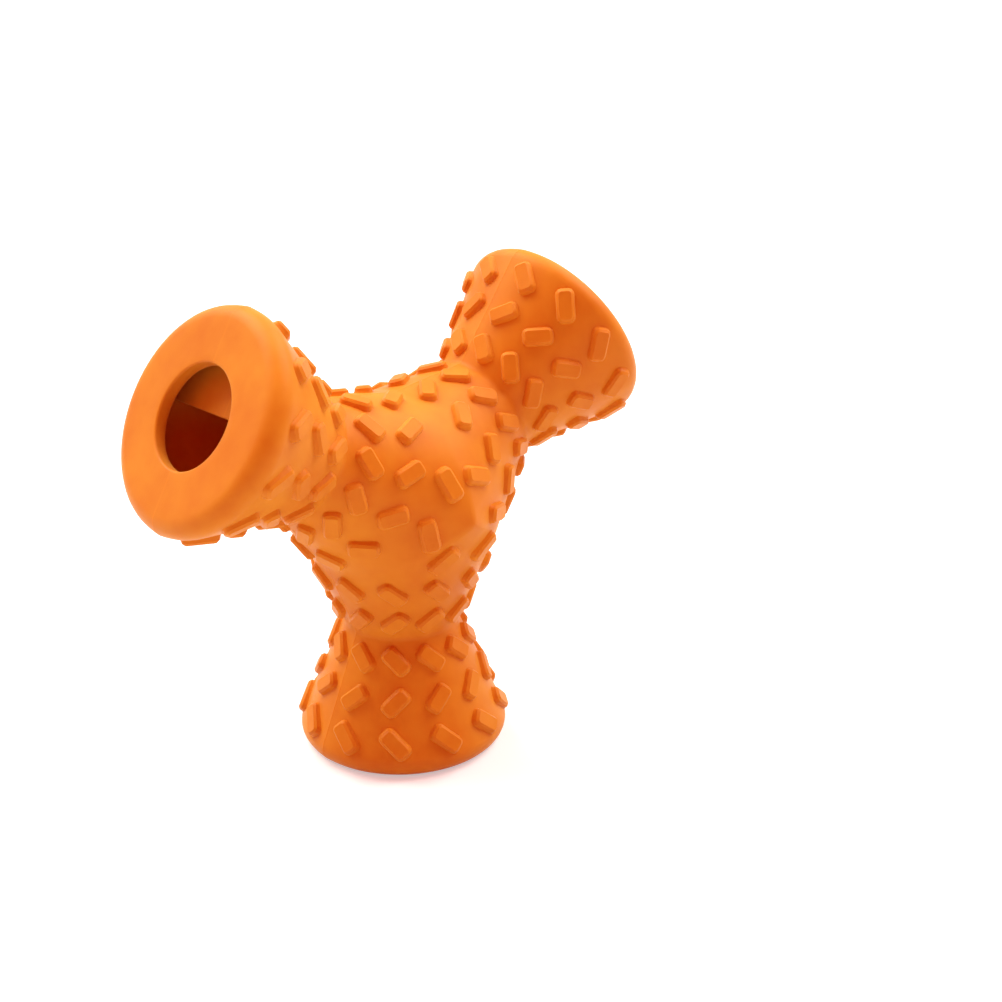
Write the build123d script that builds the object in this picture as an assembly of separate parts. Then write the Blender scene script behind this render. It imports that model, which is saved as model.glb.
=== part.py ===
import os
from math import atan, cos, degrees, radians, sin, tan

from build123d import *

# A hollow rubber chew toy: three studded arms at equal angles, moulded as two half shells and bonded together.
# Millimetres. X runs across the arms, Y from front to back, and Z up from the arm end that the toy stands on.
# A station is a distance out from the hub centre along an arm's own axis, and a radius is a distance off that axis.

# Arm: a cone narrows from the hub to the neck, and a bell flares from the neck to a little over the hub's size
arm_count = 3
arm_length = 67.0
hub_radius = 28.7
neck_station = 33.6
neck_radius = 14.6
flare_excess = 0.4
end_round = 4.0

# Hollow: a chamber that follows the outside, a round mouth in each end, and a half-moon baffle behind each mouth
wall = 4.0
lip = 3.2
mouth_radius = 12.5
baffle_depth = 8.0
baffle_thickness = 2.5
baffle_offset = 2.0

# Bond: the film of rubber cement between the halves, squeezed out to a fine raised line outside
bond_thickness = 0.4
bond_proud = 0.25

# Studs: drafted pads in rows round each arm, with the tilt changing sides from one row to the next
stud_height = 1.5
stud_root = 0.6
stud_corner = 1.4
stud_draft = 10.0
stud_tilt = 45.0
studs_per_row = 12
short_stud_length = 7.8
short_stud_width = 4.5
long_stud_length = 8.7
long_stud_width = 4.7
rows_per_side = 3
hub_row_margin = 8.8
cone_row_margin = 5.8
bell_row_margin = 5.2
end_row_margin = 9.2

# Cuts run this far past what they cut
overrun = 5.0

# Worked out from the sizes above
flare_radius = hub_radius + flare_excess
sector_half_angle = 180.0 / arm_count
cone_slope = (neck_radius - hub_radius) / neck_station
bell_slope = (flare_radius - neck_radius) / (arm_length - neck_station)
cone_angle = atan(cone_slope)
bell_angle = atan(bell_slope)
cone_wall = wall / cos(cone_angle)
bell_wall = wall / cos(bell_angle)
chamber_end = arm_length - lip
reach = arm_length + overrun
half_depth = flare_radius + overrun


def cone_radius(station):
    return hub_radius + cone_slope * station


def bell_radius(station):
    return neck_radius + bell_slope * (station - neck_station)


def at(radius, station):
    # A point of the lower arm's half section, which lies in the XZ plane
    return Vector(radius, 0, -station)


def arm_blank(grow):
    # The solid arm, with its outside moved out by grow and its end edge rounded between bell and end face
    round_station = arm_length - end_round
    round_radius = bell_radius(round_station) + grow - end_round / cos(bell_angle)
    bell_end = at(round_radius + end_round * cos(bell_angle), round_station - end_round * sin(bell_angle))
    middle = (radians(90) - bell_angle) / 2
    round_middle = at(round_radius + end_round * cos(middle), round_station + end_round * sin(middle))
    face_edge = at(round_radius, arm_length)
    outline = Polyline(
        face_edge,
        at(0, arm_length),
        at(0, 0),
        at(hub_radius + grow, 0),
        at(neck_radius + grow, neck_station),
        bell_end,
    )
    edge = ThreePointArc(bell_end, round_middle, face_edge)
    return revolve(make_face([outline, edge]), Axis.Z)


def chamber():
    # What is hollow in one arm: the chamber and the mouth, less the baffle that stays standing in it
    inner_neck = neck_station + (bell_wall - cone_wall) / (bell_slope - cone_slope)
    hollow = Polyline(
        at(0, 0),
        at(hub_radius - cone_wall, 0),
        at(cone_radius(inner_neck) - cone_wall, inner_neck),
        at(bell_radius(chamber_end) - bell_wall, chamber_end),
        at(mouth_radius, chamber_end),
        at(mouth_radius, reach),
        at(0, reach),
        close=True,
    )
    baffle_width = flare_radius - baffle_offset
    baffle = Box(baffle_width, 2 * half_depth, baffle_thickness, align=(Align.MAX, Align.CENTER, Align.MIN))
    return revolve(make_face(hollow), Axis.Z) - Pos(-baffle_offset, 0, baffle_depth - arm_length) * baffle


def arm_sector():
    # The wedge of space between the two mitre planes where an arm meets its neighbours
    half_width = reach * tan(radians(sector_half_angle))
    wedge = Polyline((0, 0, 0), (-half_width, 0, -reach), (half_width, 0, -reach), close=True)
    return extrude(make_face(wedge), amount=half_depth, dir=(0, 1, 0), both=True)


def arm_wall(grow):
    return (arm_blank(grow) - chamber()) & arm_sector()


def spread_rows(first, last):
    # Stations of one side's rows, evenly spread from the first to the last
    return [first + (last - first) * row / (rows_per_side - 1) for row in range(rows_per_side)]


def stud_rows():
    # Station, tilt, length and width of each row, from the hub out; the first and the last row have the long studs
    cone_rows = spread_rows(hub_row_margin, neck_station - cone_row_margin)
    bell_rows = spread_rows(neck_station + bell_row_margin, arm_length - end_row_margin)
    stations = cone_rows + bell_rows
    rows = []
    for index, station in enumerate(stations):
        tilt = stud_tilt if index % 2 else -stud_tilt
        is_long = index in (0, len(stations) - 1)
        length = long_stud_length if is_long else short_stud_length
        width = long_stud_width if is_long else short_stud_width
        rows.append((station, tilt, length, width))
    return rows


def stud(station, angle, tilt, length, width):
    # One stud, at an angle round the arm from its front, standing square on the surface with its root in the wall
    on_cone = station < neck_station
    slope = cone_slope if on_cone else bell_slope
    radius = cone_radius(station) if on_cone else bell_radius(station)
    turn = radians(angle)
    out = Vector(sin(turn), -cos(turn), 0)
    around = Vector(cos(turn), sin(turn), 0)
    along = (out * slope - Vector(0, 0, 1)).normalized()
    normal = (out + Vector(0, 0, slope)).normalized()
    lean = radians(tilt)
    foot = Plane(out * radius + at(0, station), along * cos(lean) + around * sin(lean), normal)
    sections = []
    for height in (-stud_root, stud_height):
        inset = height * tan(radians(stud_draft))
        outline = RectangleRounded(length - 2 * inset, width - 2 * inset, stud_corner - inset)
        sections.append(foot.offset(height) * outline)
    return loft(sections, ruled=True)


def arm_studs(side):
    # The studs of one arm on one half of the toy, kept to the arm's own sector and clear of the joint
    step = 360 / studs_per_row
    first = step / 2 - 90 + (180 if side == "rear" else 0)
    studs = []
    for station, tilt, length, width in stud_rows():
        radius = cone_radius(station) if station < neck_station else bell_radius(station)
        limit = station * tan(radians(sector_half_angle))
        for place in range(studs_per_row // 2):
            angle = first + place * step
            if abs(radius * sin(radians(angle))) < limit:
                studs.append(stud(station, angle, tilt, length, width))
    return studs


def three_arms(sector):
    # One arm's sector repeated round the Y axis, joined, and stood on the end of the lower arm
    turns = [Rot(0, 360 / arm_count * place, 0) * sector for place in range(arm_count)]
    return Pos(0, 0, arm_length) * (turns[0] + turns[1:])


def half_shell(side, walls):
    # One moulded half: its share of the walls and baffles, and its studs, with a flat rim for the bond
    half = Box(2 * reach, half_depth, 2 * reach, align=(Align.CENTER, Align.MIN, Align.CENTER))
    half = Pos(0, bond_thickness / 2, 0) * half
    if side == "front":
        half = mirror(half, Plane.XZ)
    return three_arms((walls & half) + arm_studs(side))


def bond_seam():
    # The cement film between the rims, a little proud of the wall outside and flush with it inside
    slab = Box(2 * reach, bond_thickness, 2 * reach)
    return three_arms(arm_wall(bond_proud) & slab)


arm_walls = arm_wall(0)
pieces = {
    "front_half_shell": half_shell("front", arm_walls),
    "rear_half_shell": half_shell("rear", arm_walls),
    "bond_seam": bond_seam(),
}

os.makedirs("parts", exist_ok=True)
for name, piece in pieces.items():
    export_step(piece, os.path.join("parts", name + ".step"))
    box = piece.bounding_box()
    print(name, len(piece.solids()), "solids", round(piece.volume, 1), "mm3", box.min, box.max)
print("cone half angle", round(-degrees(cone_angle), 2), "bell half angle", round(degrees(bell_angle), 2))
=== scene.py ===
import math

import bmesh
import bpy
from mathutils import Matrix, Vector


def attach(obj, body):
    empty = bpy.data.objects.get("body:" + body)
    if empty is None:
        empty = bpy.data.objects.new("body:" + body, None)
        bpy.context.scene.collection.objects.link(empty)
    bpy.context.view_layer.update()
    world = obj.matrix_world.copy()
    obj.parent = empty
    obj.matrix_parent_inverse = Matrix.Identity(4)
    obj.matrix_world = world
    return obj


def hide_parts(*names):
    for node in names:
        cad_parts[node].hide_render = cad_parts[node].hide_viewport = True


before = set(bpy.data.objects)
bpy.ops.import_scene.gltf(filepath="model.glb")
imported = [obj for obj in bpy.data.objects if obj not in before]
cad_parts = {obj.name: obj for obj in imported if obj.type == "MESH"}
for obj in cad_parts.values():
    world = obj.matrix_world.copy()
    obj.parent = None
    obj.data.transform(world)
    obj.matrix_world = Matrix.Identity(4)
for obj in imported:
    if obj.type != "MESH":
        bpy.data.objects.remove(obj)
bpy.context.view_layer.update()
mm = 0.001  # the toy's sizes below are in millimetres, the scene is in metres
print("frame loaded:", sorted(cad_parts))


# One end of a link: sums on values add Math nodes to the tree it belongs to
class Wire:
    def __init__(self, board, socket):
        self.board = board
        self.socket = socket

    def maths(self, operation, first, second=None):
        values = {0: first}
        if second is not None:
            values[1] = second
        return self.board.node("ShaderNodeMath", {"operation": operation}, values)[0]

    def __add__(self, other):
        return self.maths("ADD", self, other)

    def __radd__(self, other):
        return self.maths("ADD", other, self)

    def __sub__(self, other):
        return self.maths("SUBTRACT", self, other)

    def __rsub__(self, other):
        return self.maths("SUBTRACT", other, self)

    def __mul__(self, other):
        return self.maths("MULTIPLY", self, other)

    def __rmul__(self, other):
        return self.maths("MULTIPLY", other, self)

    def __truediv__(self, other):
        return self.maths("DIVIDE", self, other)

    def __rtruediv__(self, other):
        return self.maths("DIVIDE", other, self)

    def __floordiv__(self, other):
        return self.maths("FLOOR", self / other)

    def __rfloordiv__(self, other):
        return self.maths("FLOOR", other / self)

    def __mod__(self, other):
        return self.maths("FLOORED_MODULO", self, other)

    def __rmod__(self, other):
        return self.maths("FLOORED_MODULO", other, self)

    def __gt__(self, other):
        return self.maths("GREATER_THAN", self, other)

    def __lt__(self, other):
        return self.maths("LESS_THAN", self, other)

    def __abs__(self):
        return self.maths("ABSOLUTE", self)

    def sine(self):
        return self.maths("SINE", self)

    def cosine(self):
        return self.maths("COSINE", self)

    def most(self, other):
        return self.maths("MAXIMUM", self, other)


# A node tree that nodes are put on: type, settings, then the values or links of the sockets
class Board:
    def __init__(self, tree):
        self.tree = tree

    def node(self, kind, settings=None, sockets=None):
        made = self.tree.nodes.new(kind)
        for name, value in (settings or {}).items():
            if name == "stops":
                ramp = made.color_ramp.elements
                while len(ramp) < len(value):
                    ramp.new(0.5)  # its own place is set below
                for stop, (place, colour) in zip(ramp, value):
                    stop.position = place
                    stop.color = colour
            else:
                setattr(made, name, value)
        for key, value in (sockets or {}).items():
            for one in value if isinstance(value, list) else [value]:
                if isinstance(one, Wire):
                    self.tree.links.new(one.socket, made.inputs[key])
                else:
                    made.inputs[key].default_value = one
        return [Wire(self, out) for out in made.outputs] or [made]

    def outputs(self, kind):
        return {wire.socket.name: wire for wire in self.node(kind)}

    def vector(self, operation, first, second=None):
        sockets = {0: first}
        if second is not None:
            sockets["Scale" if operation == "SCALE" else 1] = second
        made = self.node("ShaderNodeVectorMath", {"operation": operation}, sockets)
        return made[1 if operation == "DOT_PRODUCT" else 0]  # a dot product is a value, the rest are vectors

    def xyz(self, x, y, z):
        return self.node("ShaderNodeCombineXYZ", None, {0: x, 1: y, 2: z})[0]


def emptyBoard(owner):
    # for a material or the world, without the nodes that it starts with
    owner.use_nodes = True
    owner.node_tree.nodes.clear()
    return Board(owner.node_tree)


def addObject(name, mesh):
    data = bpy.data.meshes.new(name)
    mesh.to_mesh(data)
    mesh.free()
    made = bpy.data.objects.new(name, data)
    bpy.context.scene.collection.objects.link(made)
    return made


def steps(first, last, count):
    return [first + (last - first) * i / count for i in range(count + 1)]


def closeRings(mesh, rings):
    # walls from each ring to the next, and a face across the first and the last
    for below, above in zip(rings, rings[1:]):
        for i in range(len(below)):
            j = (i + 1) % len(below)
            mesh.faces.new((below[i], below[j], above[j], above[i]))
    mesh.faces.new(rings[0])
    mesh.faces.new(rings[-1])


# The toy's own sizes, the same as the solids have
# A station is a distance out from the hub centre along an arm, and an angle goes round the arm from its front
toy = {
    "arms": 3,
    "armLength": 67.0,
    "hubRadius": 28.7,
    "neckStation": 33.6,
    "neckRadius": 14.6,
    "flareRadius": 29.1,
    "endRound": 4.0,
    "wall": 4.0,
    "lip": 3.2,
    "mouthRadius": 12.5,
    "bond": 0.4,
}
coneSlope = (toy["neckRadius"] - toy["hubRadius"]) / toy["neckStation"]
bellSlope = (toy["flareRadius"] - toy["neckRadius"]) / (toy["armLength"] - toy["neckStation"])
bellAngle = math.atan(bellSlope)
coneWall = toy["wall"] / math.cos(math.atan(coneSlope))
bellWall = toy["wall"] / math.cos(bellAngle)
mitre = math.tan(math.pi / toy["arms"])
hub = Vector((0, 0, toy["armLength"]))


# Camera, at the photograph's place and lens, in degrees and millimetres
shot = {
    "azimuth": -43.735,
    "elevation": 21.297,
    "distance": 386.08,
    "aside": 25.88,
    "above": -1.94,
    "lens": 55.12,
    "sensor": 36.0,
    "nearest": 10.0,
    "farthest": 50000.0,
}


def heading(azimuth, elevation):
    # the way out from the toy, turned from its front and lifted from the floor
    turn, lift = math.radians(azimuth), math.radians(elevation)
    return Vector((math.sin(turn) * math.cos(lift), -math.cos(turn) * math.cos(lift), math.sin(lift)))


def makeCamera():
    turn = math.radians(shot["azimuth"])
    back = heading(shot["azimuth"], shot["elevation"])
    right = Vector((math.cos(turn), math.sin(turn), 0))
    up = back.cross(right)
    data = bpy.data.cameras.new("photoCamera")
    data.sensor_width = shot["sensor"]
    data.lens = shot["lens"]
    data.clip_start = shot["nearest"] * mm
    data.clip_end = shot["farthest"] * mm
    camera = bpy.data.objects.new("photoCamera", data)
    bpy.context.scene.collection.objects.link(camera)
    place = hub + back * shot["distance"] + right * shot["aside"] + up * shot["above"]
    camera.location = place * mm
    camera.rotation_mode = "QUATERNION"
    camera.rotation_quaternion = back.to_track_quat("Z", "Y")
    bpy.context.scene.camera = camera
    print("camera set at", [round(v, 4) for v in camera.location])
    return right, up, back


viewRight, viewUp, viewBack = makeCamera()


# Rubber: a satin orange with faint clouding, a fine moulded grain and slightly uneven gloss
rubberLook = {
    "deep": (0.67, 0.183, 0.009, 1.0),
    "light": (0.75, 0.272, 0.017, 1.0),
    "deepUpTo": 0.3,
    "lightFrom": 0.7,
    "clouds": {"Scale": 55.0, "Detail": 4.0, "Roughness": 0.6},
    "grain": {"Scale": 2600.0, "Detail": 2.0},
    "ripple": {"Scale": 190.0, "Detail": 1.0},
    "rippleTintShare": 0.2,
    "grainReliefShare": 0.25,
    "reliefStrength": 0.5,
    "reliefHeight": 0.16,
    "roughness": 0.43,
    "cloudGloss": 0.14,
    "grainGloss": 0.06,
    "specular": 0.1,
    "bloom": 0.18,
    "bloomRoughness": 0.45,
    "bloomTint": (1.0, 0.8, 0.35, 1.0),
}

# Cement: the same rubber, a shade lighter
cementLook = dict(rubberLook, deep=(0.71, 0.2, 0.01, 1.0), light=(0.78, 0.285, 0.018, 1.0))


def makeRubber(name, look):
    material = bpy.data.materials.new(name)
    board = emptyBoard(material)
    place = board.outputs("ShaderNodeTexCoord")["Object"]
    clouds = board.node("ShaderNodeTexNoise", None, dict(look["clouds"], Vector=place))[0]
    grain = board.node("ShaderNodeTexNoise", None, dict(look["grain"], Vector=place))[0]
    ripple = board.node("ShaderNodeTexNoise", None, dict(look["ripple"], Vector=place))[0]
    rippleTint, grainRelief = look["rippleTintShare"], look["grainReliefShare"]
    tint = board.node(
        "ShaderNodeValToRGB",
        {"stops": [(look["deepUpTo"], look["deep"]), (look["lightFrom"], look["light"])]},
        {"Fac": clouds * (1 - rippleTint) + ripple * rippleTint},
    )[0]
    gloss = look["roughness"] + (clouds - 0.5) * look["cloudGloss"] + (grain - 0.5) * look["grainGloss"]
    relief = grain * grainRelief + ripple * (1 - grainRelief)
    bump = board.node(
        "ShaderNodeBump",
        None,
        {"Strength": look["reliefStrength"], "Distance": look["reliefHeight"] * mm, "Height": relief},
    )[0]
    skin = board.node(
        "ShaderNodeBsdfPrincipled",
        None,
        {
            "Base Color": tint,
            "Roughness": gloss,
            "Specular IOR Level": look["specular"],
            "Sheen Weight": look["bloom"],
            "Sheen Roughness": look["bloomRoughness"],
            "Sheen Tint": look["bloomTint"],
            "Normal": bump,
        },
    )[0]
    board.node("ShaderNodeOutputMaterial", None, {"Surface": skin})
    return material


rubber = makeRubber("orangeRubber", rubberLook)
cement = makeRubber("rubberCement", cementLook)
print("rubber mixed")


# Half shells: the arm's section swept round its axis, mitred into its neighbours at the hub
shell = {
    "columns": 80,
    "ridgeGaps": (0.0, 0.25, 0.5, 0.8, 1.1, 1.7, 2.6),  # close rows beside the ridge between two arms
    "coneRows": 24,
    "neckRows": 6,
    "bellRows": 24,
    "roundRows": 9,
    "faceRows": 6,
    "mouthEdgeRows": 4,
    "mouthRows": 2,
    "lipEdgeRows": 3,
    "lipRows": 5,
    "innerBellRows": 16,
    "innerConeRows": 14,
    "neckRound": 0.9,
    "ridgeRound": 1.1,
    "mouthRound": 0.55,
    "partingLift": 0.2,
    "partingBand": 12.0,  # degrees
    "partingFade": 5.0,
    "weldGap": 0.004,
    "sliver": 0.001,
    "sharpAngle": 32.0,
}


def coneAt(station):
    return toy["hubRadius"] + coneSlope * station


def bellAt(station):
    return toy["neckRadius"] + bellSlope * (station - toy["neckStation"])


def mitreStation(angle, radiusAtHub):
    side = abs(math.sin(angle))
    return radiusAtHub * side / (mitre - coneSlope * side)


def partingLift(angle, station, proud):
    # the two halves meet in a very low ridge, which fades out towards the hub
    edge = 1 - (math.pi / 2 - abs(angle)) / math.radians(shell["partingBand"])
    clear = (station - mitreStation(angle, toy["hubRadius"])) / shell["partingFade"]
    return shell["partingLift"] * proud * max(0.0, edge) ** 2 * min(1.0, max(0.0, clear))


# A row goes round the arm: its station at an angle, its radius at that station,
# and the share of the seam's bead and of the parting ridge that it has
def coneRow(share, gap, end, inset, proud):
    # this share of the way from a gap past the mitre to the cone's end, inset from the outside
    def stationAt(angle):
        start = mitreStation(angle, toy["hubRadius"] - inset) + gap
        return start + (end - start) * share

    return stationAt, lambda station: coneAt(station) - inset, proud


def levelRow(rowStation, rowRadius, proud):
    return lambda angle: rowStation, lambda station: rowRadius, proud


def outsideRows():
    # from the mitre along the cone, round the neck, along the bell and round the end's edge
    neck, soft = toy["neckStation"], shell["neckRound"]
    coneEnd = neck - soft
    *closeGaps, lastGap = shell["ridgeGaps"]
    rows = [coneRow(0.0, gap, coneEnd, 0.0, 1.0) for gap in closeGaps]
    rows += [coneRow(share, lastGap, coneEnd, 0.0, 1.0) for share in steps(0.0, 1.0, shell["coneRows"])]
    for offset in steps(-soft, soft, shell["neckRows"])[1:-1]:
        fill = (bellSlope - coneSlope) * (offset * offset + soft * soft) / (4 * soft)
        radius = toy["neckRadius"] + (coneSlope + bellSlope) / 2 * offset + fill
        rows.append(levelRow(neck + offset, radius, 1.0))
    roundStation = toy["armLength"] - toy["endRound"]
    roundRadius = bellAt(roundStation) - toy["endRound"] / math.cos(bellAngle)
    bellEnd = roundStation - toy["endRound"] * math.sin(bellAngle)
    for station in steps(neck + soft, bellEnd, shell["bellRows"]):
        rows.append(levelRow(station, bellAt(station), 1.0))
    for turn in steps(-bellAngle, math.pi / 2, shell["roundRows"])[1:]:
        station = roundStation + toy["endRound"] * math.sin(turn)
        radius = roundRadius + toy["endRound"] * math.cos(turn)
        rows.append(levelRow(station, radius, max(0.0, math.cos(turn))))
    return rows, roundRadius


def insideRows(faceRadius):
    # across the end face, through the mouth, behind the lip, and back along the chamber to the mitre
    rows = []
    face, lipBack = toy["armLength"], toy["armLength"] - toy["lip"]
    mouth, ease = toy["mouthRadius"], shell["mouthRound"]
    for radius in steps(faceRadius, mouth + ease, shell["faceRows"])[1:]:
        rows.append(levelRow(face, radius, 0.0))
    for turn in steps(0, math.pi / 2, shell["mouthEdgeRows"])[1:]:
        station = face - ease + ease * math.cos(turn)
        rows.append(levelRow(station, mouth + ease - ease * math.sin(turn), 0.0))
    for station in steps(face - ease, lipBack + ease, shell["mouthRows"])[1:]:
        rows.append(levelRow(station, mouth, 0.0))
    for turn in steps(0, math.pi / 2, shell["lipEdgeRows"])[1:]:
        station = lipBack + ease - ease * math.sin(turn)
        rows.append(levelRow(station, mouth + ease - ease * math.cos(turn), 0.0))
    for radius in steps(mouth + ease, bellAt(lipBack) - bellWall, shell["lipRows"])[1:]:
        rows.append(levelRow(lipBack, radius, 0.0))
    innerNeck = toy["neckStation"] + (bellWall - coneWall) / (bellSlope - coneSlope)
    for station in steps(lipBack, innerNeck, shell["innerBellRows"])[1:]:
        rows.append(levelRow(station, bellAt(station) - bellWall, 0.0))
    for share in steps(1.0, 0.0, shell["innerConeRows"])[1:]:
        rows.append(coneRow(share, 0.0, innerNeck, coneWall, 0.0))
    return rows


def easeRidge(point, angle, station):
    # rounds the ridge where two arms meet: a parabola over a narrow band each side of the mitre plane
    side = 1.0 if point.x >= 0 else -1.0
    into = Vector((-side, 0, -mitre)).normalized()
    away = point.dot(into)
    band = shell["ridgeRound"]
    if away >= band or station > toy["neckStation"] / 2:
        return point
    normal = Vector((math.sin(angle), -math.cos(angle), coneSlope)).normalized()
    lean = normal.dot(into)
    flat = normal - into * lean
    if math.isclose(angle, 0.0, abs_tol=1e-6):  # the middle, where all the arms meet
        flat = Vector((0, -1, 0))
    slope = lean / flat.length
    return point - flat.normalized() * slope * (band - away) ** 2 / (2 * band)


outerRows, endFaceRadius = outsideRows()
shellRows = outerRows + insideRows(endFaceRadius)


def armTurn(arm):
    return Matrix.Translation(hub) @ Matrix.Rotation(2 * math.pi / toy["arms"] * arm, 4, "Y")


def halfShellMesh(front):
    # the rear half is the front half's mirror image; the studs are grown on it later
    mesh = bmesh.new()
    columns = shell["columns"]
    for arm in range(toy["arms"]):
        turn = armTurn(arm)
        grid = []
        for index, (stationAt, radiusAt, proud) in enumerate(shellRows):
            line = []
            for column in range(columns + 1):
                share = 2 * column / columns - 1
                flat = radiusAt(stationAt(share * math.pi / 2))
                angle = share * math.acos(toy["bond"] / 2 / flat)
                station = stationAt(angle)
                radius = radiusAt(station) + partingLift(angle, station, proud)
                point = Vector((radius * math.sin(angle), -radius * math.cos(angle), -station))
                if index < len(outerRows):
                    point = easeRidge(point, angle, station)
                if abs(share) == 1.0:
                    point.y = -toy["bond"] / 2
                if not front:
                    point.y = -point.y
                line.append(mesh.verts.new((turn @ point) * mm))
            grid.append(line)
        for low, high in zip(grid, grid[1:]):
            for column in range(columns):
                mesh.faces.new((low[column], low[column + 1], high[column + 1], high[column]))
        for edge in (0, columns):
            mesh.faces.new([line[edge] for line in grid])
    bmesh.ops.remove_doubles(mesh, verts=mesh.verts, dist=shell["weldGap"] * mm)
    bmesh.ops.dissolve_degenerate(mesh, edges=mesh.edges, dist=shell["sliver"] * mm)
    return mesh


# Baffles: a half-moon plate behind each mouth, one half of it in each shell
baffle = {
    "depth": 8.0,
    "thickness": 2.5,
    "offset": 2.0,
    "root": 0.4,
    "edgeRound": 0.45,
    "edgeCutShare": 0.3,
    "rimSteps": 28,
}


def baffleLevels():
    # stations through the plate, each with how far its rounded free edge stands off the axis
    # and the radius that its root reaches, a little way into the wall
    outer = toy["armLength"] - baffle["depth"]
    inner = outer - baffle["thickness"]
    ease = baffle["edgeRound"]
    cut = ease * baffle["edgeCutShare"]
    levels = [(inner, ease), (inner + cut, cut), (inner + ease, 0.0)]
    levels += [(outer - ease, 0.0), (outer - cut, cut), (outer, ease)]
    return [
        (station, baffle["offset"] + inset, bellAt(station) - bellWall + baffle["root"])
        for station, inset in levels
    ]


def addBaffles(mesh, front):
    side = -1.0 if front else 1.0
    for arm in range(toy["arms"]):
        turn = armTurn(arm)
        rings = []
        for station, chord, radius in baffleLevels():
            low = math.asin(toy["bond"] / 2 / radius)
            high = math.acos(chord / radius)
            ring = [Vector((-chord, side * toy["bond"] / 2, -station))]
            for angle in steps(low, high, baffle["rimSteps"]):
                ring.append(Vector((-radius * math.cos(angle), side * radius * math.sin(angle), -station)))
            rings.append([mesh.verts.new((turn @ point) * mm) for point in ring])
        closeRings(mesh, rings)


def makeHalf(name, front):
    mesh = halfShellMesh(front)
    addBaffles(mesh, front)
    bmesh.ops.recalc_face_normals(mesh, faces=mesh.faces)
    return addObject(name, mesh)


# Studs: one drafted pad, set out in rows over the arms by a node tree and drawn down on to the shell
stud = {
    "height": 1.5,
    "length": 7.8,
    "width": 4.5,
    "longLength": 8.7,
    "longWidth": 4.7,
    "corner": 1.4,
    "leastCorner": 0.35,
    "cornerSteps": 3,
    "draft": 10.0,
    "topEdge": 0.58,
    "footFlare": 0.3,
    "root": 0.25,
    "tilt": 45.0,
    "perRow": 6,  # on one half
    "rowsPerSide": 3,  # on the cone, and as many on the bell
    "pitch": 9.5,
    "coneOffset": 5.8,
    "bellOffset": 5.2,
}


def makePad():
    mesh = bmesh.new()
    hold = mesh.verts.layers.float.new("hold")
    rise = mesh.verts.layers.float.new("rise")
    draft = math.tan(math.radians(stud["draft"]))
    top, ease = stud["height"], stud["topEdge"]
    flare = stud["footFlare"]
    wall = (top - ease) * draft
    loops = [  # height, how far in from the outline at the foot, and whether it is held to the shell
        (-stud["root"], -flare, 1.0),
        (flare, flare * draft, 0.0),
        (top - ease, wall, 0.0),
        (top, wall + ease, 0.0),
    ]
    rings = []
    for height, inset, held in loops:
        ring = []
        corner = max(stud["leastCorner"], stud["corner"] - inset)
        along = stud["length"] / 2 - inset - corner
        across = stud["width"] / 2 - inset - corner
        for quarter in range(4):
            signX = 1 if quarter in (0, 3) else -1
            signY = 1 if quarter in (0, 1) else -1
            middle = Vector((signX * along, signY * across, 0))
            for degrees in steps(quarter * 90, quarter * 90 + 90, stud["cornerSteps"]):
                turn = math.radians(degrees)
                spot = middle + corner * Vector((math.cos(turn), math.sin(turn), 0))
                vert = mesh.verts.new(Vector((spot.x, spot.y, height)) * mm)
                vert[hold] = held
                vert[rise] = height * mm
                ring.append(vert)
        rings.append(ring)
    closeRings(mesh, rings)
    bmesh.ops.recalc_face_normals(mesh, faces=mesh.faces)
    return addObject("studPad", mesh)


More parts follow.
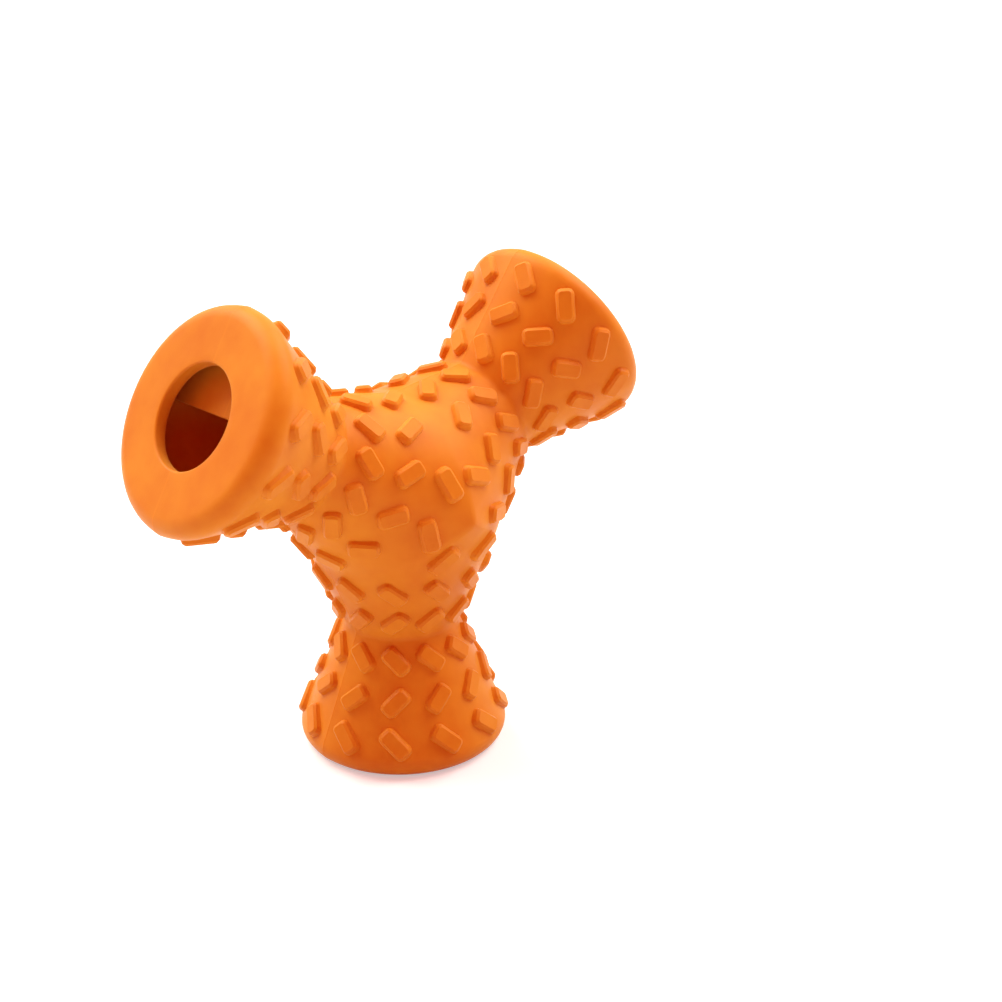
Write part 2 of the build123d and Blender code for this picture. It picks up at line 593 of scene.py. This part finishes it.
def makeStudTree():
    tree = bpy.data.node_groups.new("studRows", "GeometryNodeTree")
    interface = tree.interface
    interface.new_socket(name="Shell", in_out="OUTPUT", socket_type="NodeSocketGeometry")
    interface.new_socket(name="Shell", in_out="INPUT", socket_type="NodeSocketGeometry")
    inputs = {"Pad": "NodeSocketObject", "Rubber": "NodeSocketMaterial"}
    for name in (
        "First angle", "Per row", "Rows per side", "Row pitch", "Cone offset", "Bell offset", "Tilt",
        "Long length", "Long width", "Arm length", "Neck station", "Neck radius", "Cone slope", "Bell slope",
    ):
        inputs[name] = "NodeSocketFloat"
    identifiers = {}
    for name, kind in inputs.items():
        identifiers[name] = interface.new_socket(name=name, in_out="INPUT", socket_type=kind).identifier
    board = Board(tree)
    take = board.outputs("NodeGroupInput")
    perRow, perSide, pitch = take["Per row"], take["Rows per side"], take["Row pitch"]
    neck = take["Neck station"]

    # which arm, row and place in the row a stud has
    spot = board.node("GeometryNodeInputIndex")[0]
    rows = perSide * 2
    perArm = rows * perRow
    arm = spot // perArm
    inArm = spot % perArm
    row = inArm // perRow
    place = inArm % perRow

    # where that is on the arm: cone rows count back from the neck, bell rows count on from it
    onBell = row > (perSide - 0.5)  # half a row off, since rows are whole numbers
    coneStation = neck - take["Cone offset"] - (perSide - 1 - row) * pitch
    bellStation = neck + take["Bell offset"] + (row - perSide) * pitch
    station = coneStation + (bellStation - coneStation) * onBell
    slope = take["Cone slope"] + (take["Bell slope"] - take["Cone slope"]) * onBell
    radius = take["Neck radius"] + slope * (station - neck)
    angle = take["First angle"] + (place + 0.5) * (math.pi / perRow)
    sine, cosine = angle.sine(), angle.cosine()
    out = board.xyz(sine, 0 - cosine, 0.0)
    around = board.xyz(cosine, sine, 0.0)
    point = board.vector("ADD", board.vector("SCALE", out, radius), board.xyz(0.0, 0.0, 0 - station))
    normal = board.vector("NORMALIZE", board.vector("ADD", out, board.xyz(0.0, 0.0, slope)))
    outwards = board.vector("ADD", board.vector("SCALE", out, slope), (0.0, 0.0, -1.0))
    along = board.vector("NORMALIZE", outwards)

    # rows lean to one side and the other in turn
    lean = take["Tilt"] * ((row % 2) * 2 - 1)
    length = board.vector(
        "ADD", board.vector("SCALE", along, lean.cosine()), board.vector("SCALE", around, lean.sine())
    )

    # the same round the hub for each arm
    aboutY = {"rotation_type": "Y_AXIS"}
    turn = arm * (2 * math.pi / toy["arms"])
    turned = []
    for wire in (point, normal, length):
        turned.append(board.node("ShaderNodeVectorRotate", aboutY, {"Vector": wire, "Angle": turn})[0])
    stand = board.vector("ADD", turned[0], board.xyz(0.0, 0.0, take["Arm length"]))
    points = board.node("GeometryNodePoints", None, {"Count": perArm * toy["arms"], "Position": stand})[0]
    facing = board.node(
        "FunctionNodeAxesToRotation",
        {"primary_axis": "Z", "secondary_axis": "X"},
        {0: turned[1], 1: turned[2]},
    )[0]

    # the first and the last row have the long studs, and a place past the mitre has none
    inSector = abs(radius * sine) < station * mitre
    isLong = (row < 0.5).most(row > (rows - 1.5))
    size = board.xyz(1 + isLong * (take["Long length"] - 1), 1 + isLong * (take["Long width"] - 1), 1.0)
    pad = board.node("GeometryNodeObjectInfo", None, {"Object": take["Pad"]})[-1]  # its geometry
    placed = board.node(
        "GeometryNodeInstanceOnPoints",
        None,
        {"Points": points, "Selection": inSector, "Instance": pad, "Rotation": facing, "Scale": size},
    )[0]
    solid = board.node("GeometryNodeRealizeInstances", None, {0: placed})[0]

    # each foot is drawn down to the shell's own surface
    held = board.node("GeometryNodeInputNamedAttribute", {"data_type": "FLOAT"}, {"Name": "hold"})[0]
    rise = board.node("GeometryNodeInputNamedAttribute", {"data_type": "FLOAT"}, {"Name": "rise"})[0]
    nearest = board.node("GeometryNodeProximity", {"target_element": "FACES"}, {0: take["Shell"]})[0]
    shellNormal = board.node(
        "GeometryNodeSampleNearestSurface",
        {"data_type": "FLOAT_VECTOR"},
        {"Mesh": take["Shell"], "Value": board.node("GeometryNodeInputNormal")[0]},
    )[0]
    foot = board.vector("ADD", nearest, board.vector("SCALE", shellNormal, rise))
    rooted = board.node(
        "GeometryNodeSetPosition", None, {"Geometry": solid, "Selection": held > 0.5, "Position": foot}
    )[0]
    both = board.node("GeometryNodeJoinGeometry", None, {0: [take["Shell"], rooted]})[0]
    smooth = board.node("GeometryNodeSetShadeSmooth", None, {0: both})[0]
    dressed = board.node("GeometryNodeSetMaterial", None, {"Geometry": smooth, "Material": take["Rubber"]})[0]
    board.node("NodeGroupOutput", None, {0: dressed})
    return tree, identifiers


studPad = makePad()
studTree, studSockets = makeStudTree()


def growStuds(half, front):
    settings = {
        "Pad": studPad,
        "Rubber": rubber,
        "First angle": -math.pi / 2 if front else math.pi / 2,
        "Per row": float(stud["perRow"]),
        "Rows per side": float(stud["rowsPerSide"]),
        "Row pitch": stud["pitch"] * mm,
        "Cone offset": stud["coneOffset"] * mm,
        "Bell offset": stud["bellOffset"] * mm,
        "Tilt": math.radians(stud["tilt"]),
        "Long length": stud["longLength"] / stud["length"],
        "Long width": stud["longWidth"] / stud["width"],
        "Arm length": toy["armLength"] * mm,
        "Neck station": toy["neckStation"] * mm,
        "Neck radius": toy["neckRadius"] * mm,
        "Cone slope": coneSlope,
        "Bell slope": bellSlope,
    }
    modifier = half.modifiers.new("studRows", "NODES")
    modifier.node_group = studTree
    for name, value in settings.items():
        modifier[studSockets[name]] = value
    bare = half.data
    grown = half.evaluated_get(bpy.context.evaluated_depsgraph_get())
    baked = bpy.data.meshes.new_from_object(grown)
    half.modifiers.remove(modifier)
    half.data = baked
    bpy.data.meshes.remove(bare)
    baked.name = half.name
    for name in ("hold", "rise"):
        if name in baked.attributes:
            baked.attributes.remove(baked.attributes[name])
    baked.set_sharp_from_angle(angle=math.radians(shell["sharpAngle"]))
    print(half.name, "has", len(baked.polygons), "faces")


# Bond seam: the cement film between the rims, with a fine rounded bead outside
seam = {
    "proud": 0.03,
    "beadShares": ((-1.0, 0.0), (-0.6, 0.7), (0.0, 1.0), (0.6, 0.7), (1.0, 0.0)),  # across the film, and out
    "sharpAngle": 60.0,
}


def addBaffleFilm(mesh, turn):
    # the film between the two halves of a baffle
    levels = baffleLevels()
    outline = [(-chord, -station) for station, chord, radius in levels]
    outline += [(-radius, -station) for station, chord, radius in reversed(levels)]
    sides = []
    for y in (-toy["bond"] / 2, toy["bond"] / 2):
        sides.append([mesh.verts.new((turn @ Vector((x, y, z))) * mm) for x, z in outline])
    closeRings(mesh, sides)


def seamLine(turn, side):
    # one side of an arm's section, as places in the toy's middle plane with their share of the bead
    line = []
    angle = side * math.pi / 2
    for index, (stationAt, radiusAt, proud) in enumerate(shellRows):
        station = stationAt(angle)
        radius = radiusAt(station) + partingLift(angle, station, proud)
        spot = Vector((side * radius, 0, -station))
        if index < len(outerRows):
            spot = easeRidge(spot, angle, station)
        line.append((turn @ spot, proud))
    return line


def makeSeam():
    # each strip runs from one arm's mouth round the hub to the next arm's mouth and back inside
    mesh = bmesh.new()
    half = toy["bond"] / 2
    for arm in range(toy["arms"]):
        neighbour = arm + toy["arms"] - 1
        outline = seamLine(armTurn(arm), 1.0)[::-1] + seamLine(armTurn(neighbour), -1.0)[1:-1]
        spots = [spot for spot, proud in outline]
        area = sum(here.x * there.z - there.x * here.z for here, there in zip(spots, spots[1:] + spots[:1]))
        outward = 1.0 if area > 0 else -1.0
        rings = []
        for i, (spot, proud) in enumerate(outline):
            ahead = spots[(i + 1) % len(spots)] - spots[i - 1]
            push = Vector((ahead.z, 0, -ahead.x)).normalized() * outward
            ring = []
            for across, lift in seam["beadShares"]:
                bead = spot + push * (seam["proud"] * proud * lift)
                ring.append(mesh.verts.new(Vector((bead.x, across * half, bead.z)) * mm))
            rings.append(ring)
        for ring, ahead in zip(rings, rings[1:] + rings[:1]):
            for k in range(len(ring) - 1):
                mesh.faces.new((ring[k], ring[k + 1], ahead[k + 1], ahead[k]))
        mesh.faces.new([ring[0] for ring in rings])
        mesh.faces.new([ring[-1] for ring in rings])
        addBaffleFilm(mesh, armTurn(arm))
    bmesh.ops.recalc_face_normals(mesh, faces=mesh.faces)
    made = addObject("bondSeam", mesh)
    made.data.materials.append(cement)
    made.data.shade_smooth()
    made.data.set_sharp_from_angle(angle=math.radians(seam["sharpAngle"]))
    print(made.name, "has", len(made.data.polygons), "faces")
    return made


frontHalf = makeHalf("frontHalf", True)
rearHalf = makeHalf("rearHalf", False)
growStuds(frontHalf, True)
growStuds(rearHalf, False)
bpy.data.objects.remove(studPad)
bondSeam = makeSeam()

for piece, node, slot in (
    (frontHalf, "front_half_shell", "orange_rubber"),
    (rearHalf, "rear_half_shell", "orange_rubber"),
    (bondSeam, "bond_seam", "rubber_cement"),
):
    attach(piece, "root")
    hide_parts(node)
print("toy built")


# Studio: a wide pale floor, two broad lamps high behind the toy, and a white surround
# The surround's light is bright at the sides, faint behind the toy, and a dim red round the camera
studio = {
    "floorSize": 12.0,  # metres
    "floorCells": 8,
    "floorDrop": 0.05,
    "floorColour": (0.68, 0.68, 0.68, 1.0),
    "floorLift": 0.46,
    "lampSpread": 50.0,
    "lampColour": (0.92, 1.0, 0.94),
    "lamps": {  # degrees round from the camera, degrees up, and how bright a white card that faces it gets
        "leftLamp": (-122.0, 53.0, 1.02),
        "rightLamp": (120.0, 53.0, 0.89),
    },
    "dimSide": (0.12, -0.1),  # how far the middle of the dim side lies aside and above the camera
    "surround": [  # from behind the toy round to the dim side
        (0.0, (0.03, 0.03, 0.03, 1.0)),
        (0.25, (0.25, 0.25, 0.25, 1.0)),
        (0.43, (1.3, 1.3, 1.3, 1.0)),
        (0.53, (0.55, 0.45, 0.42, 1.0)),
        (0.62, (0.58, 0.04, 0.02, 1.0)),
        (1.0, (0.66, 0.015, 0.005, 1.0)),
    ],
    "white": (1.0, 1.0, 1.0, 1.0),
}


def seenDirectly(board):
    # camera, mirror and see-through rays, which all show the plain white background
    path = board.outputs("ShaderNodeLightPath")
    return path["Is Camera Ray"].most(path["Is Glossy Ray"]).most(path["Is Transmission Ray"])


def makeFloor():
    mesh = bmesh.new()
    cells = studio["floorCells"]
    bmesh.ops.create_grid(mesh, x_segments=cells, y_segments=cells, size=studio["floorSize"] / 2)
    bmesh.ops.translate(mesh, verts=mesh.verts, vec=(0, 0, -studio["floorDrop"] * mm))
    floor = addObject("floor", mesh)
    material = bpy.data.materials.new("paleFloor")
    board = emptyBoard(material)
    matt = board.node("ShaderNodeBsdfDiffuse", None, {"Color": studio["floorColour"]})[0]
    lift = board.node("ShaderNodeEmission", None, {"Strength": seenDirectly(board) * studio["floorLift"]})[0]
    both = board.node("ShaderNodeAddShader", None, {0: matt, 1: lift})[0]
    board.node("ShaderNodeOutputMaterial", None, {"Surface": both})
    floor.data.materials.append(material)


def makeLamps():
    for name, (turn, height, level) in studio["lamps"].items():
        towards = heading(shot["azimuth"] + turn, height)
        data = bpy.data.lights.new(name, "SUN")
        data.angle = math.radians(studio["lampSpread"])
        data.color = studio["lampColour"]
        data.energy = level * math.pi
        lamp = bpy.data.objects.new(name, data)
        lamp.location = towards
        lamp.rotation_mode = "QUATERNION"
        lamp.rotation_quaternion = towards.to_track_quat("Z", "Y")
        bpy.context.scene.collection.objects.link(lamp)


def makeSurround():
    world = bpy.data.worlds.new("surround")
    bpy.context.scene.world = world
    board = emptyBoard(world)
    direction = board.outputs("ShaderNodeTexCoord")["Generated"]
    aside, above = studio["dimSide"]
    dimSide = (viewBack + viewRight * aside + viewUp * above).normalized()
    towards = board.vector("DOT_PRODUCT", direction, tuple(dimSide))
    fill = board.node("ShaderNodeValToRGB", {"stops": studio["surround"]}, {"Fac": towards * 0.5 + 0.5})[0]
    glow = board.node("ShaderNodeBackground", None, {"Color": fill, "Strength": 1.0})[0]
    white = board.node("ShaderNodeBackground", None, {"Color": studio["white"], "Strength": 1.0})[0]
    light = board.node("ShaderNodeMixShader", None, {0: seenDirectly(board), 1: glow, 2: white})[0]
    board.node("ShaderNodeOutputWorld", None, {"Surface": light})


makeFloor()
makeLamps()
makeSurround()
bpy.context.scene.view_settings.view_transform = "Standard"
print("studio lit")
